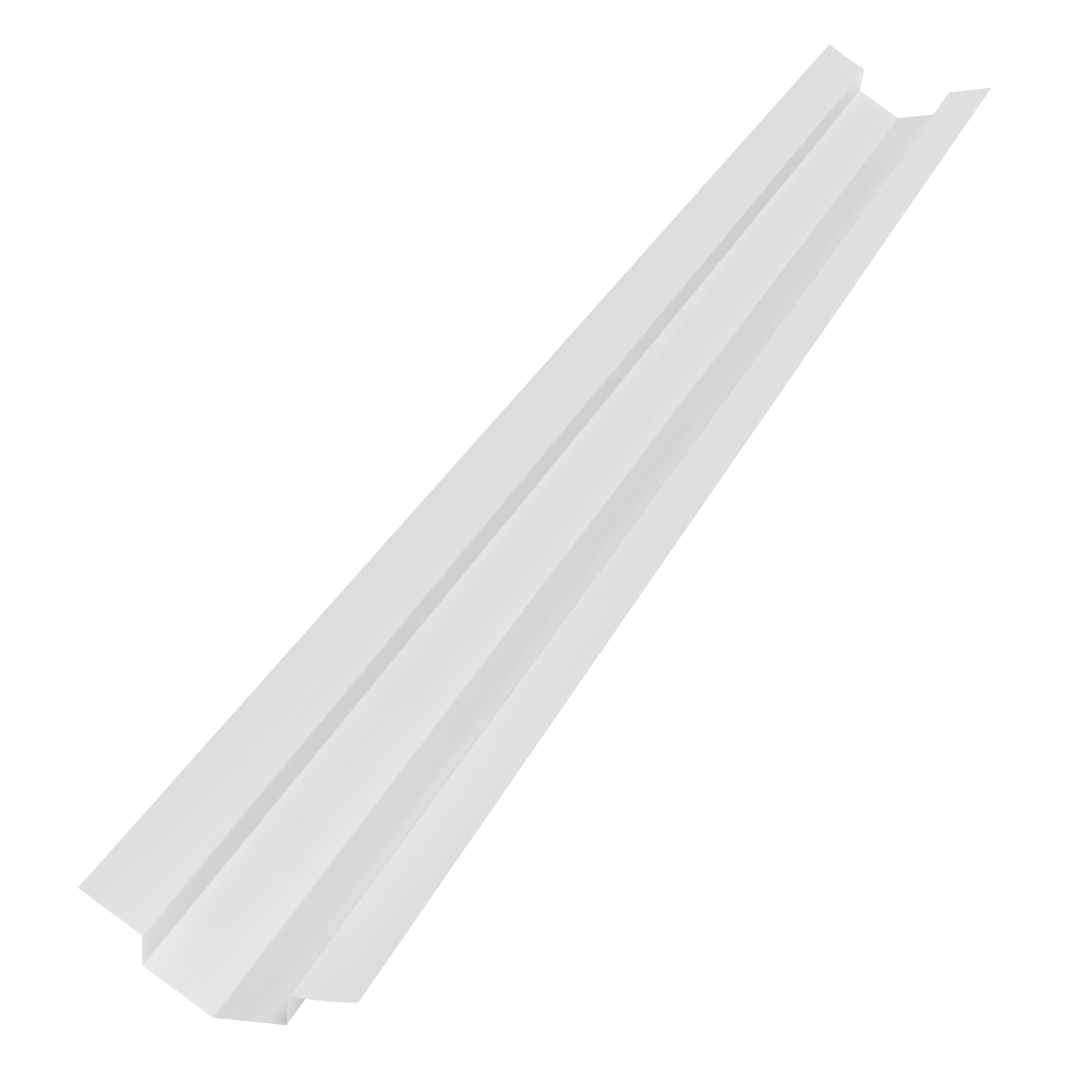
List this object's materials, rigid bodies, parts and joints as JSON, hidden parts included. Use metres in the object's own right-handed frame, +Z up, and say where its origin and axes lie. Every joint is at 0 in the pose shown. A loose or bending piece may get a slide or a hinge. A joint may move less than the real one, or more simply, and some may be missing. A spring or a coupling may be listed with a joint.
{
  "type": "valley gutter flashing",
  "caption": "Long coated steel sheet folded into an open channel: two pans meet at a valley crease, with an upstand and a sloping wing on each side, to drain the valley between two roof slopes.",
  "frame": {"origin": "centre of the bounding box on the floor, as the flashing lies at rest on the underside of its right pan", "axes": "+Y along the length, +Z up from the floor, +X across the channel towards the right wing"},
  "size_m": [0.3442, 3, 0.1859],
  "materials": {
    "coated_steel": "satin"
  },
  "bodies": {
    "root": {"folded_sheet": "coated_steel"}
  },
  "joints": []
}
